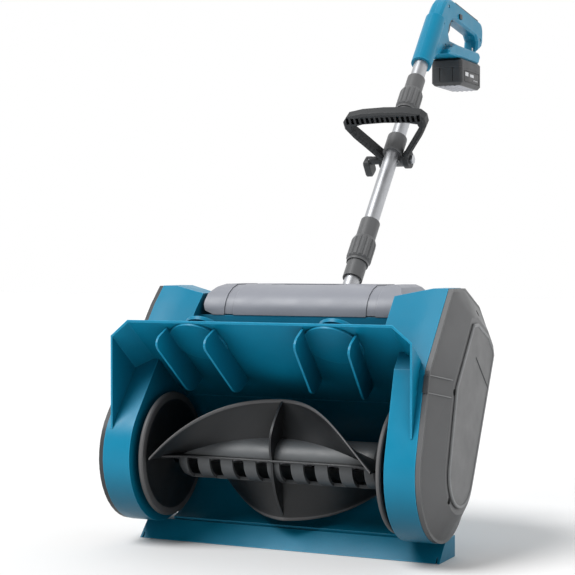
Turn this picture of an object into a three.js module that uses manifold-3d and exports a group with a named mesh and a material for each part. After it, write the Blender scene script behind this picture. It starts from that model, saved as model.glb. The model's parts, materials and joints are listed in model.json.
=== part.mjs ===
// Cordless snow shovel: a powered auger head, a three-piece pole with an auxiliary loop handle,
// and a rear handle with its slide-on battery.
// Millimetres, +Z up. The scoop's mouth faces -Y and +X is to the right of someone facing the mouth.
// Lengths along y are measured from the auger's axis; the last lines move the origin to the middle of the base.
import * as THREE from "three";
import { mergeGeometries, mergeVertices } from "three/addons/utils/BufferGeometryUtils.js";
import Module from "manifold-3d";

const wasm = await Module();
wasm.setup();

// ---------------------------------------------------------------- driving dimensions
const GAP = 0.3; // clearance between fixed neighbours
const WALL = 3; // moulded wall thickness

const AUGER_Z = 136; // height of the auger's axis
const AUGER_R = 96; // end discs
const BLADE_R = 92; // tip radius of the blades
const DRUM_R = 34; // slotted drum
const AXLE_R = 8;
const DISC_X = 187; // inner face of each end disc
const TWIST_POWER = 1.35; // the blades twist slowly near the middle and faster near the discs

const BASE_DEPTH = 68; // scraper base, front to back
const BASE_HALF = 249; // half its width
const TROUGH_R = 111; // outside of the curved trough
const SIDE_R = 105; // round bottom of the side housings
const SIDE_IN = 205; // side housing, inner face
const SIDE_OUT = 251; // side housing, outer face
const SIDE_ARC = 12; // steps in the round bottom
const COVER_OUT = 280; // outer face of the side covers
const SIDE_FOLD = 228; // where the side housing's inner top shoulder folds down

const RIM_Y = -95; // plane of the scoop's mouth
const RIM_Z = 346.5; // top of the rim
const HOOD_SLOPE = 37; // roof angle below horizontal, going back
const HOOD_HALF = 243; // half width of the hood
const HOOD_CHAMFER = [29.5, 19.5]; // corner cut, across and down

const DEFLECTOR_X = 110; // deflector pivots, left and right of the middle
const DEFLECTOR_S = 47; // pivot's distance down the roof from the rim
const DEFLECTOR_R = 45;
const VANE_X = 40; // vanes, either side of the pivot
const RIGHT_DEFLECTOR_YAW = 8; // the right deflector is set slightly across

const POLE_ANGLE = 50.5; // pole above horizontal
const POLE_Y = 255; // the pole's reference point
const POLE_Z = 390;
const TUBE_R = 13;
const TUBE_WALL = 1.5;
const NUT_R = 21.5;

const MOTOR_Y = 150; // motor shaft
const MOTOR_Z = 285;
const MOTOR_R = 32;
const PULLEY_X = [232, 246]; // belt plane, inside the right side housing
const SMALL_PULLEY_R = 12;
const LARGE_PULLEY_R = 48;

const CLAMP_S = 320; // auxiliary handle's clamp, distance up the pole
const PIVOT_S = 305; // its tilt bolt, up the pole
const PIVOT_D = 19; // and below the pole's axis
const LOOP_TILT = 37.6; // loop leans forward of vertical

const HANDLE_S = 526; // where the rear handle starts, up the pole
const GRIP_HALF = 14.5; // half thickness of the grip
const MOUNT_HALF = 29; // half width of the battery mount
const MOUNT_Z = 824; // underside of the battery mount

const BATTERY_HALF = 31;
const BATTERY_Y = [727, 845];
const BATTERY_Z = [772, 823.4];
const BATTERY_SEAM_Z = 806;

// ---------------------------------------------------------------- materials
const finish = (color, roughness, metalness = 0) => () =>
  new THREE.MeshStandardMaterial({ color, roughness, metalness });
const blue = finish(0x1990ba, 0.38);
const darkGrey = finish(0x3a3c3f, 0.5);
const midGrey = finish(0x68696a, 0.45);
const paleGrey = finish(0x9597a0, 0.42);
const black = finish(0x16171a, 0.55);
const rubber = finish(0x1c1c1e, 0.85);
const aluminium = finish(0xd4d6da, 0.28, 0.9);
const steel = finish(0x9a9da2, 0.3, 1);
const copper = finish(0xb5713c, 0.4, 0.8);
const board = finish(0x1e5a38, 0.6);
const cellWrap = finish(0x2c7a4b, 0.45);

// ---------------------------------------------------------------- solids
const { sin, cos, PI } = Math;
const rad = THREE.MathUtils.degToRad;
const X = new THREE.Vector3(1, 0, 0);
const Y = new THREE.Vector3(0, 1, 0);
const Z = new THREE.Vector3(0, 0, 1);

function solid(geometry) {
  const plain = geometry.index ? geometry : mergeVertices(geometry);
  plain.deleteAttribute("normal");
  plain.deleteAttribute("uv");
  const merged = mergeVertices(plain, 1e-4);
  const corners = merged.index.array;
  const kept = [];
  for (let i = 0; i < corners.length; i += 3) {
    const [a, b, c] = corners.slice(i, i + 3);
    if (a !== b && b !== c && c !== a) kept.push(a, b, c);
  }
  const vertProperties = merged.attributes.position.array;
  return new wasm.Manifold(new wasm.Mesh({ numProp: 3, vertProperties, triVerts: new Uint32Array(kept) }));
}

function geometryOf(body) {
  const mesh = body.getMesh();
  const geometry = new THREE.BufferGeometry();
  geometry.setAttribute("position", new THREE.BufferAttribute(mesh.vertProperties, 3));
  geometry.setIndex(new THREE.BufferAttribute(mesh.triVerts, 1));
  geometry.computeVertexNormals();
  return geometry;
}

const join = (first, ...others) => others.reduce((body, other) => body.add(other), first);
const cut = (first, ...others) => others.reduce((body, other) => body.subtract(other), first);
const keep = (first, ...others) => others.reduce((body, other) => body.intersect(other), first);

function block([x0, x1], [y0, y1], [z0, z1]) {
  const box = new THREE.BoxGeometry(x1 - x0, y1 - y0, z1 - z0);
  return solid(box.translate((x0 + x1) / 2, (y0 + y1) / 2, (z0 + z1) / 2));
}

// A round bar between two points.
function rod(radius, from, to, sides = 24) {
  const a = new THREE.Vector3(...from);
  const b = new THREE.Vector3(...to);
  const along = b.clone().sub(a);
  const bar = new THREE.CylinderGeometry(radius, radius, along.length(), sides);
  bar.applyQuaternion(new THREE.Quaternion().setFromUnitVectors(Y, along.normalize()));
  return solid(bar.translate(...a.add(b).multiplyScalar(0.5).toArray()));
}
const rodX = (radius, [x0, x1], [y, z], sides = 24) => rod(radius, [x0, y, z], [x1, y, z], sides);
const rodZ = (radius, [z0, z1], [x, y] = [0, 0], sides = 24) => rod(radius, [x, y, z0], [x, y, z1], sides);
const tubeX = (outer, inner, [x0, x1], at, sides = 24) =>
  cut(rodX(outer, [x0, x1], at, sides), rodX(inner, [x0 - 1, x1 + 1], at, sides));
const tubeZ = (outer, inner, [z0, z1], sides = 24) =>
  cut(rodZ(outer, [z0, z1], [0, 0], sides), rodZ(inner, [z0 - 1, z1 + 1], [0, 0], sides));

// Extrusions of a flat outline. `bevel` rounds both ends; `offset` grows or shrinks the outline.
function extrude(shape, depth, { offset = 0, bevel = 0, bevelDepth = bevel, rounds = 1, arc = 10 } = {}) {
  return new THREE.ExtrudeGeometry(shape, {
    depth: depth - 2 * bevelDepth,
    curveSegments: arc,
    bevelEnabled: bevel > 0 || offset !== 0,
    bevelThickness: bevelDepth,
    bevelSize: bevel,
    bevelOffset: offset - bevel,
    bevelSegments: rounds,
  }).translate(0, 0, bevelDepth);
}
const yzPlane = new THREE.Matrix4().makeBasis(Y, Z, X);
const xzPlane = new THREE.Matrix4().makeBasis(X, Z, Y.clone().negate());
// An outline in (y, z), extruded along X.
const prismX = (shape, [x0, x1], options) =>
  solid(extrude(shape, x1 - x0, options).translate(0, 0, x0).applyMatrix4(yzPlane));
// The same with a bevel only at its outer end, x1.
function prismXOut(shape, [x0, x1], options) {
  const back = options.bevelDepth ?? options.bevel;
  const far = 2000;
  return keep(prismX(shape, [x0 - back - 1, x1], options), block([x0, far], [-far, far], [-far, far]));
}
// An outline in (x, z), extruded along Y.
const prismY = (shape, [y0, y1], options) =>
  solid(extrude(shape, y1 - y0, options).translate(0, 0, -y1).applyMatrix4(xzPlane));
// An outline in (x, y), extruded along Z.
const prismZ = (shape, [z0, z1], options) => solid(extrude(shape, z1 - z0, options).translate(0, 0, z0));

const outline = (points) => new THREE.Shape(points.map(([u, v]) => new THREE.Vector2(u, v)));
const mirrored = (points) => points.map(([u, v]) => [-u, v]).reverse();

function rectangle([u0, u1], [v0, v1], corner) {
  const shape = new THREE.Shape();
  shape.absarc(u1 - corner, v0 + corner, corner, -PI / 2, 0);
  shape.absarc(u1 - corner, v1 - corner, corner, 0, PI / 2);
  shape.absarc(u0 + corner, v1 - corner, corner, PI / 2, PI);
  shape.absarc(u0 + corner, v0 + corner, corner, PI, 1.5 * PI);
  return shape;
}

// A body turned about the X axis through the origin, from a profile of [x, radius] points.
function latheX(profile, sides = 32) {
  const points = profile.map(([x, r]) => new THREE.Vector2(r, x));
  return solid(new THREE.LatheGeometry(points, sides).rotateZ(-PI / 2));
}

// Frames: each returns a group whose children are modelled in plain local coordinates.
function frame(parent, [x, y, z], tiltX = 0, turnZ = 0) {
  const group = new THREE.Group();
  group.position.set(x, y, z);
  group.rotation.set(rad(tiltX), 0, rad(turnZ));
  parent.add(group);
  return group;
}

function node(parent, name, body, material, { mirror = false } = {}) {
  const mesh = new THREE.Mesh(body.isBufferGeometry ? body : geometryOf(body), material());
  mesh.name = name;
  mesh.scale.x = mirror ? -1 : 1;
  parent.add(mesh);
  return mesh;
}

// ---------------------------------------------------------------- shared outlines and places
const AXIS = [0, AUGER_Z];
const roofDown = [cos(rad(HOOD_SLOPE)), -sin(rad(HOOD_SLOPE))];
const roofOut = [sin(rad(HOOD_SLOPE)), cos(rad(HOOD_SLOPE))];
// A point on the roof's outer face: s down the roof from the rim, n outwards.
const onRoof = (s, n = 0) => [
  RIM_Y + roofDown[0] * s + roofOut[0] * n,
  RIM_Z + roofDown[1] * s + roofOut[1] * n,
];
const ROOF_END = 202; // where the roof runs into the trough

const poleAlong = [cos(rad(POLE_ANGLE)), sin(rad(POLE_ANGLE))];
// A point in the plane of symmetry: s up the pole, d below its axis.
const onPole = (s, d = 0) => [
  POLE_Y + poleAlong[0] * s + poleAlong[1] * d,
  POLE_Z + poleAlong[1] * s - poleAlong[0] * d,
];
const poleRod = (radius, s0, s1, sides = 24) => rod(radius, [0, ...onPole(s0)], [0, ...onPole(s1)], sides);

// The side housings and their covers: round under the auger, a sloping front, a flat top. The housing
// over the belt drive is the bigger one. `hoodEdge` is the hood's back edge, just in front of the
// housing; `shoulder` is how far in the top reaches; `slope` is the width of the cover's slanted border.
const REAR_TANGENT = rad(331);
const DRIVE_SIDE = {
  frontTangent: rad(163),
  corners: [[203, 286], [190, 330], [152, 366], [85, 395], [32, 395], [-66, 283]],
  hoodEdge: [[RIM_Y, 190], [-94.3, 190], [-66.9, 282.4], [-0.9, 358]],
  screws: [[-25, 250], [-46, 100], [105, 357]],
  shoulder: 165,
  slope: 40,
};
const IDLE_SIDE = {
  frontTangent: rad(141),
  corners: [[203, 286], [188, 340], [133, 395], [79, 395], [50, 366]],
  hoodEdge: [[RIM_Y, 181], [-91.6, 188.3], [-82.2, 202], [-3.5, 300], [-20, 358]],
  screws: [[2, 251], [-46, 100], [105, 357]],
  shoulder: 181,
  slope: 34,
};
function sideOutline({ frontTangent, corners }) {
  const shape = new THREE.Shape();
  shape.absarc(...AXIS, SIDE_R, frontTangent, REAR_TANGENT);
  corners.forEach(([y, z]) => shape.lineTo(y, z));
  return shape;
}

// ---------------------------------------------------------------- head: housings
function scraperBase() {
  const lip = [[0, 0], [12, 13], [29, 31], [BASE_DEPTH, 31], [BASE_DEPTH, 0]];
  const bar = prismX(outline(lip), [-BASE_HALF, BASE_HALF]);
  const grooveX = BASE_HALF - 5;
  const sideGrooves = [-1, 1].map((side) =>
    block([side * grooveX - 1.2, side * grooveX + 1.2], [-5, 8], [-1, 12]),
  );
  return cut(bar, rodX(TROUGH_R + GAP, [-400, 400], AXIS, 72), ...sideGrooves);
}

function hoodShell() {
  const [across, down] = HOOD_CHAMFER;
  const depth = 260;
  const inner = HOOD_HALF - WALL;
  const right = [[inner, -depth], [HOOD_HALF, -depth], [HOOD_HALF, -down], [HOOD_HALF - across, 0]];
  const rightInner = [[HOOD_HALF - across - 1, -WALL], [inner, -down - 1]];
  const section = outline([...right, ...mirrored(right), ...mirrored(rightInner), ...rightInner]);
  const tunnel = prismY(section, [-60, 330]).rotate([-HOOD_SLOPE, 0, 0]).translate([0, RIM_Y, RIM_Z]);
  const before = ({ hoodEdge }) => outline([[RIM_Y, 358], ...hoodEdge]);
  const reach = join(prismX(before(IDLE_SIDE), [-300, 0]), prismX(before(DRIVE_SIDE), [0, 300]));
  const front = keep(tunnel, reach);
  const slab = outline([onRoof(40), onRoof(40, -WALL), onRoof(ROOF_END, -WALL), onRoof(ROOF_END)]);
  const roof = prismX(slab, [-SIDE_IN + GAP, SIDE_IN - GAP]);
  const pivots = [-1, 1].map((side) =>
    rod(12.5, [side * DEFLECTOR_X, ...onRoof(DEFLECTOR_S, -20)], [side * DEFLECTOR_X, ...onRoof(DEFLECTOR_S, 20)]),
  );
  return cut(join(front, roof), ...pivots);
}

function augerTrough() {
  const top = rad(90 - HOOD_SLOPE) - 0.006;
  const bottom = rad(-74);
  const band = new THREE.Shape();
  band.absarc(...AXIS, TROUGH_R, top, bottom, true);
  band.absarc(...AXIS, TROUGH_R - WALL, bottom, top, false);
  return prismX(band, [-SIDE_IN + GAP, SIDE_IN - GAP], { arc: 22 });
}

const FAR = 600;
const aboveRoof = (n) => prismX(outline([onRoof(-60, n), onRoof(500, n), [FAR, FAR], [-FAR, FAR]]), [0, 400]);
const slice = (x0, x1) => block([x0, x1], [-FAR, FAR], [-100, FAR]);
// The space over the hood's roof and the motor bay, `clear` away from both.
const overRoofAndBay = (clear) => cut(aboveRoof(clear), block([0, 400], [72 - clear, FAR], [0, 349.5 + clear]));

function sideHousing(side, drive) {
  const whole = sideOutline(side);
  const { shoulder, screws } = side;
  const drop = 12; // how far the shoulder falls from the fold to its inner end
  const below = outline([onRoof(-60, 0.5), onRoof(500, 0.5), [FAR, -100], [-FAR, -100], [-FAR, 400]]);
  const lower = keep(prismX(whole, [SIDE_IN, SIDE_OUT], { arc: SIDE_ARC }), prismX(below, [0, 400]));
  const fall = SIDE_FOLD - shoulder;
  const sloped = prismX(whole, [shoulder, SIDE_OUT + fall], { bevel: drop, bevelDepth: fall, arc: SIDE_ARC });
  const upper = keep(sloped, slice(SIDE_IN, SIDE_OUT), aboveRoof(-16));
  const inward = keep(sloped, slice(shoulder, SIDE_IN + 1), overRoofAndBay(0.5));
  const pocket = prismX(whole, [SIDE_IN + WALL, SIDE_OUT + 5], { offset: -WALL, arc: SIDE_ARC });
  const inset = { offset: -drop - WALL, arc: SIDE_ARC };
  const shallowPocket = prismX(whole, [SIDE_IN + WALL, SIDE_FOLD], inset);
  const inwardPocket = keep(prismX(whole, [shoulder + WALL, SIDE_IN + 5], inset), overRoofAndBay(0.5 + WALL));
  const hollow = join(keep(pocket, slice(SIDE_FOLD, SIDE_OUT + 9)), shallowPocket, inwardPocket);
  const bosses = screws.map((at) => rodX(7, [SIDE_IN + 1, SIDE_OUT - GAP], at, 10));
  const bearingSeat = rodX(26, [SIDE_IN, SIDE_IN + 13], AXIS, 28);
  const shell = join(cut(join(lower, upper, inward), hollow), ...bosses, bearingSeat);
  const screwHoles = screws.map((at) => rodX(2.2, [SIDE_IN + 20, SIDE_OUT + 5], at, 8));
  const bearingHole = rodX(20.3, [SIDE_IN - 1, SIDE_IN + 14], AXIS, 28);
  const shaftHole = rodX(9, [SIDE_IN - 1, SIDE_IN + 4], [MOTOR_Y, MOTOR_Z]);
  return cut(shell, bearingHole, ...screwHoles, ...(drive ? [shaftHole] : []));
}

function sideCover(side) {
  const whole = sideOutline(side);
  const { screws } = side;
  const band = SIDE_OUT + GAP;
  const bodyStart = band + 6;
  const rim = prismX(whole, [band, bodyStart + 1], { offset: -0.6, arc: SIDE_ARC });
  const slope = { offset: -3, bevel: side.slope, bevelDepth: COVER_OUT - bodyStart, arc: SIDE_ARC };
  const body = prismXOut(whole, [bodyStart, COVER_OUT], slope);
  const panel = prismX(whole, [COVER_OUT - 1, COVER_OUT + 2.5], { offset: -side.slope - 12, bevel: 2, arc: SIDE_ARC });
  const hollowSlope = { offset: -6.5, bevel: side.slope, bevelDepth: COVER_OUT - bodyStart, arc: SIDE_ARC };
  const hollow = join(
    prismXOut(whole, [bodyStart - 0.1, COVER_OUT - WALL], hollowSlope),
    prismX(whole, [band - 1, bodyStart], { offset: -6.5, arc: SIDE_ARC }),
  );
  const seats = screws.map((at) => rodX(8, [band + GAP, COVER_OUT], at, 12));
  const shell = join(cut(join(rim, body, panel), hollow), keep(join(...seats), join(rim, body)));
  const recesses = screws.map((at) => rodX(5.2, [262, COVER_OUT + 5], at, 14));
  const holes = screws.map((at) => rodX(2.2, [band - 1, 263], at, 8));
  return cut(shell, ...recesses, ...holes);
}

const coverScrew = (at) => join(rodX(4.6, [262 + GAP, 266], at, 12), rodX(1.9, [238, 263], at, 8));

// The bay behind the hood that carries the motor and the pole.
function bayOutline() {
  return outline([[72, 349.5], [72, 205], [100, 172], [150, 172], [215, 250], [240, 300], [240, 349.5]]);
}
const COVER_X = -8; // the top cover sits slightly to the left, clear of the bigger drive side
function motorBay() {
  const half = SIDE_IN - GAP;
  const outer = cut(
    prismX(bayOutline(), [-half, half]),
    rodX(TROUGH_R + GAP, [-400, 400], AXIS, 72),
  );
  const inner = cut(
    join(
      prismX(bayOutline(), [-half + WALL, half - WALL], { offset: -WALL }),
      block([COVER_X - 142, COVER_X + 142], [72 + WALL, 240 - WALL], [330, 360]),
    ),
    rodX(TROUGH_R + WALL, [-400, 400], AXIS, 72),
  );
  const shaftHole = rodX(9, [150, 260], [MOTOR_Y, MOTOR_Z]);
  return cut(outer, inner, shaftHole, poleRod(20.6, -90, 10));
}

function topCover() {
  const ends = [[148, 349.8], [163, 356], [167, 366], [165, 384], [157, 394], [149, 398]];
  const innerEnds = [[145, 330], [145, 352], [160, 359], [163.5, 367], [161.5, 383], [155, 391.5], [148, 395]];
  const front = [[71, 349.8], [72, 360], [77, 372], [86, 383], [100, 392], [118, 398]];
  const side = outline([...front, [190, 398], [248, 349.8]]);
  const innerSide = outline([[76, 330], [76, 361], [81, 371], [89, 380.5], [102, 389], [119, 395], [188, 395], [243, 350], [243, 330]]);
  const across = (points) => prismY(outline([...points, ...mirrored(points)]), [0, 400]);
  const outer = keep(across(ends), prismX(side, [-300, 300]));
  const inner = keep(across(innerEnds), prismX(innerSide, [-300, 300]));
  // a shallow channel round the cover near each end, and a stepped recess along the top
  const skin = cut(block([-8, 8], [60, 260], [340, 402]), prismX(side, [-9, 9], { offset: -1.5 }));
  const channels = [-121, 121].map((x) => skin.translate([x, 0, 0]));
  const step = outline([[-70, 400], [-66, 396.4], [44, 396.4], [56, 400]]);
  const body = cut(outer, inner, ...channels, prismY(step, [104, 165])).translate([COVER_X, 0, 0]);
  return cut(body, poleRod(20.6, -90, 10, 28));
}

function poleSocket() {
  const collar = poleRod(20, -78, -14, 28);
  const foot = block([-34, 34], [168, 236.5], [322, 334]);
  return cut(join(collar, foot), poleRod(TUBE_R + GAP, -130, 0, 28));
}

// ---------------------------------------------------------------- head: drive
function motor() {
  const can = rodX(MOTOR_R, [40, 138], [MOTOR_Y, MOTOR_Z], 28);
  const nose = rodX(16, [137, 144], [MOTOR_Y, MOTOR_Z]);
  return cut(join(can, nose), rodX(5.4, [120, 150], [MOTOR_Y, MOTOR_Z]));
}
const motorShaft = () =>
  rodX(5, [122, PULLEY_X[1] + 4], [MOTOR_Y, MOTOR_Z], 18);

function pulley(radius, bore, at) {
  const [x0, x1] = PULLEY_X;
  const wheel = join(
    rodX(radius, [x0 + 2, x1 - 2], at, 20),
    rodX(radius + 3, [x0, x0 + 2], at, 20),
    rodX(radius + 3, [x1 - 2, x1], at, 20),
  );
  return cut(wheel, rodX(bore, [x0 - 1, x1 + 1], at, 16));
}

// Flat belt round the two pulleys, clear of them by the running gap.
function driveBelt() {
  const [x0, x1] = [PULLEY_X[0] + 2.8, PULLEY_X[1] - 2.8];
  const loop = (grow) => {
    const dy = MOTOR_Y;
    const dz = MOTOR_Z - AUGER_Z;
    const span = Math.hypot(dy, dz);
    const lean = Math.atan2(dz, dy);
    const spread = Math.acos((LARGE_PULLEY_R - SMALL_PULLEY_R) / span);
    const shape = new THREE.Shape();
    shape.absarc(...AXIS, LARGE_PULLEY_R + grow, lean + spread, lean - spread + 2 * PI);
    shape.absarc(MOTOR_Y, MOTOR_Z, SMALL_PULLEY_R + grow, lean - spread, lean + spread);
    return shape;
  };
  return cut(prismX(loop(2.4), [x0, x1], { arc: 8 }), prismX(loop(0.4), [x0 - 1, x1 + 1], { arc: 8 }));
}

const TENSIONER = [102.5, 175.5];
function beltTensioner() {
  const shoe = rodX(9, [PULLEY_X[0] + 2, PULLEY_X[1] - 2], TENSIONER, 20);
  const pin = rodX(4, [SIDE_IN + WALL + GAP, PULLEY_X[1]], TENSIONER, 12);
  const foot = rodX(10, [SIDE_IN + WALL + GAP, SIDE_IN + 12], TENSIONER, 16);
  return join(shoe, pin, foot);
}

// ---------------------------------------------------------------- auger
const augerAxle = () => latheX([[-226, 0], [-226, AXLE_R], [250, AXLE_R], [250, 0]], 20);
const bearing = () => tubeX(20, AXLE_R + 0.08, [SIDE_IN + 1, SIDE_IN + 12], [0, 0], 28);

function endDisc() {
  const inner = DISC_X;
  const bore = AXLE_R + 0.1;
  const profile = [
    [inner - 6, bore], [inner - 6, 15], [inner, 24], [inner + 2, 80], [inner - 1, 92],
    [inner + 4, AUGER_R], [inner + 9, 92], [inner + 6, 80], [inner + 6, 24], [inner + 12, 15],
    [inner + 12, bore], [inner - 6, bore],
  ];
  return latheX(profile, 28);
}

function augerDrum() {
  const half = 168;
  const wall = 5;
  const cap = 14;
  const bore = AXLE_R + 0.6;
  const outside = [[-half, bore], [-half, 16], [-half + 8, 28], [-half + 18, DRUM_R]];
  const inside = [[-half + cap, bore - 0.2], [-half + cap, 20], [-half + cap + 10, DRUM_R - wall]];
  const across = (points) => points.map(([x, r]) => [-x, r]).reverse();
  const drum = cut(
    latheX([...outside, ...across(outside), outside[0]], 16),
    latheX([...inside, ...across(inside), inside[0]], 16),
  );
  const slots = [];
  const pitch = 39;
  for (let i = -4; i < 4; i++) {
    const x = (i + 0.5) * pitch;
    slots.push(block([x - 9.5, x + 9.5], [-45, -8], [-45, 0]));
    slots.push(block([x - 9.5, x + 9.5], [8, 45], [0, 45]));
  }
  return cut(drum, ...slots);
}

// A thin plate along the axle, twisted a quarter turn from each end to the middle, with the fin
// that crosses it there.
function blade() {
  const half = DISC_X - 8;
  const thick = 3.2;
  const box = new THREE.BoxGeometry(2 * half, BLADE_R - DRUM_R, thick, 30, 3, 1);
  box.translate(0, (BLADE_R + DRUM_R) / 2, 0);
  const points = box.attributes.position;
  const root = DRUM_R + 0.5;
  for (let i = 0; i < points.count; i++) {
    const x = points.getX(i);
    const r = Math.max(points.getY(i), root);
    const across = points.getZ(i);
    const angle = rad(90 + 90 * (Math.abs(x) / DISC_X) ** TWIST_POWER);
    points.setXYZ(i, x, r * cos(angle) - across * sin(angle), r * sin(angle) + across * cos(angle));
  }
  const shelf = block([-half + 8, half - 8], [-40, -30], [1, 4]);
  return join(solid(box), centreFin(), cut(shelf, rodX(root, [-half, half], [0, 0], 24)));
}

// The fin across the middle: from one blade's face, in front of the drum, towards the other.
function centreFin() {
  const edge = outline([
    [0, 89], [-22, 70], [-38, 50], [-45, 30], [-42, 12], [-38, -6], [-36, -20], [-27, -46],
    [-14, -68], [-2.4, -84], [-2.4, 0], [0, 30],
  ]);
  return cut(prismX(edge, [-1.6, 1.6]), rodX(DRUM_R + 0.4, [-5, 5], [0, 0], 24));
}

// ---------------------------------------------------------------- deflectors
// Modelled on the roof: local X across, local Y down the roof, local Z outwards.
function deflector() {
  const disc = rodZ(DEFLECTOR_R, [-6.4, -WALL - 0.6], [0, 0], 36);
  const stem = rodZ(11.8, [-6, 15.5], [0, 0], 24);
  const vane = new THREE.Shape();
  vane.moveTo(-34, -4.6);
  vane.lineTo(-46, -28);
  vane.quadraticCurveTo(-50, -45, -34, -45);
  vane.lineTo(70, -45);
  vane.quadraticCurveTo(84, -44, 92, -30);
  vane.lineTo(103, -8);
  vane.lineTo(100, -4.6);
  const vanes = [-1, 1].map((side) => prismX(vane, [side * VANE_X - 1.6, side * VANE_X + 1.6], { arc: 5 }));
  return join(disc, stem, ...vanes);
}
function deflectorDial() {
  const dial = rodZ(29, [16, 22], [0, 0], 30);
  const ridge = block([-24, 24], [-5, 5], [21, 28]);
  return join(dial, ridge);
}

// ---------------------------------------------------------------- pole (local Z up the pole, local Y below it)
const tube = (s0, s1) => tubeZ(TUBE_R, TUBE_R - TUBE_WALL, [s0, s1], 28);
const sleeve = (outer, s0, s1) => tubeZ(outer, TUBE_R + GAP, [s0, s1], 24);

function ribbedNut(s0, s1) {
  const ribs = 14;
  const points = [];
  for (let i = 0; i < ribs; i++) {
    for (const [step, r] of [[0, 19.8], [0.3, NUT_R], [0.7, NUT_R], [0.95, 19.8]]) {
      const angle = ((i + step) * 2 * PI) / ribs;
      points.push([r * cos(angle), r * sin(angle)]);
    }
  }
  const shaped = keep(prismZ(outline(points), [s0, s1]), nutEnvelope(s0, s1));
  return cut(shaped, rodZ(15.9, [s0 - 1, s1 + 1], [0, 0], 28));
}
// Rounds the nut's two ends.
function nutEnvelope(s0, s1) {
  const profile = [[0, s0], [18.5, s0], [NUT_R, s0 + 4], [NUT_R, s1 - 8], [18.4, s1], [0, s1]];
  const lathe = new THREE.LatheGeometry(profile.map(([r, s]) => new THREE.Vector2(r, s)), 18);
  return solid(lathe.rotateX(PI / 2));
}
// A coupling half: the visible sleeve and the threaded spigot that the nut turns on.
const couplingHalf = (outer, s0, s1, spigot) =>
  join(sleeve(outer, s0, s1), sleeve(15.4, Math.min(spigot, s0), Math.max(spigot, s1)));
const couplingRing = (s0, s1) => tubeZ(18.8, 15.8, [s0, s1], 24);

// ---------------------------------------------------------------- auxiliary handle
function clampCollar() {
  const ring = tubeZ(17.6, TUBE_R + GAP, [CLAMP_S - 19, CLAMP_S + 19], 24);
  const ears = cut(
    join(
      rodX(12.5, [-17.9, 17.9], [PIVOT_D, PIVOT_S], 20),
      block([-12, 12], [8, PIVOT_D], [PIVOT_S - 12, PIVOT_S + 12]),
    ),
    rodZ(TUBE_R + GAP, [200, 400], [0, 0], 24),
  );
  const slit = block([-1.6, 1.6], [10, 60], [200, 400]);
  return cut(join(ring, ears), slit, rodX(4.3, [-30, 30], [PIVOT_D, PIVOT_S], 16));
}
// Local frame at the tilt bolt: X across, Z from the bolt to the grip bar.
function auxHandle() {
  const outside = [[27.5, -12], [27.5, 8], [64, 54], [76, 74], [76, 88], [67, 98], [40, 103], [0, 104.5]];
  const inside = [[0, 83], [40, 81.5], [60, 77], [62, 70], [54, 60], [18.3, 14], [18.3, -12]];
  const leftOutside = mirrored(outside).slice(1);
  const leftInside = mirrored(inside).slice(0, -1);
  const points = [...inside.slice(1), ...outside.slice(0, -1), [0, 104.5], ...leftOutside, ...leftInside, [0, 83]];
  const loop = prismY(outline(points), [-12, 12], { bevel: 3.5 });
  const ears = [-1, 1].map((side) => rodX(16, [side * 18.3, side * 27.7], [0, 0], 20));
  const slots = [];
  const pitch = 9.4;
  for (let i = -7; i <= 7; i++) {
    slots.push(block([i * pitch - 2.9, i * pitch + 2.9], [-20, -4], [84.5, 96.5]));
  }
  return cut(join(loop, ...ears), rodX(4.4, [-60, 60], [0, 0], 16), ...slots);
}
const clampBolt = () =>
  join(rodX(3.9, [-52, 30], [0, 0], 16), rodX(8.5, [28.1, 33], [0, 0], 6));
// A wing nut whose wing stands far enough out to turn past the loop's leg.
function clampKnob() {
  const wing = prismX(rectangle([-13, 13], [-29, 4], 7), [-60, -47.5], { bevel: 2, arc: 4 });
  return cut(join(wing, rodX(7.5, [-49, -28.2], [0, 0], 16)), rodX(4.3, [-54, -25], [0, 0], 16));
}

// ---------------------------------------------------------------- rear handle
const GRIP_TOP = [[748, 933], [884, 917]]; // ends of the overmoulded stretch
const HANDLE_SCREWS = [[668, 880], [703, 919], [889, 879], [683, 842], [846, 855]];
const FINGER_GAP = [
  [707, 855], [858, 849], [870, 858], [873, 874], [863, 884], [745, 898], [722, 896], [705, 880], [701, 866],
];
function handleOutline() {
  const shape = new THREE.Shape();
  const start = onPole(HANDLE_S, -15);
  shape.moveTo(...start);
  shape.lineTo(...onPole(HANDLE_S, 18));
  shape.lineTo(...onPole(560, 20));
  shape.lineTo(655, MOUNT_Z);
  shape.lineTo(838, MOUNT_Z);
  shape.lineTo(852, 843);
  shape.lineTo(900, 864);
  shape.lineTo(907, 876);
  shape.lineTo(908, 896);
  shape.quadraticCurveTo(906, 912, 892, 916);
  shape.lineTo(GRIP_TOP[0][0], GRIP_TOP[0][1]);
  shape.quadraticCurveTo(715, 938, 694, 931);
  shape.quadraticCurveTo(680, 924, ...onPole(656, -12));
  return shape;
}
const mountOutline = () =>
  outline([[690, MOUNT_Z], [838, MOUNT_Z], [848, 838], [840, 846], [700, 846], [664, MOUNT_Z + 8], [664, MOUNT_Z]]);
function overmouldOutline() {
  const [[y0, z0], [y1, z1]] = GRIP_TOP;
  return outline([[y0 + 2, z0 - 4.4], [y1, z1 - 4.2], [y1 + 2, z1 + 0.2], [y0, z0]]);
}

function railSlot(clear) {
  return join(
    block([-18 - clear, 18 + clear], [732, 880], [MOUNT_Z - 5, 830]),
    block([-22 - clear, 22 + clear], [732, 880], [829.4 - clear, 834.5 + clear]),
  );
}

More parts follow.
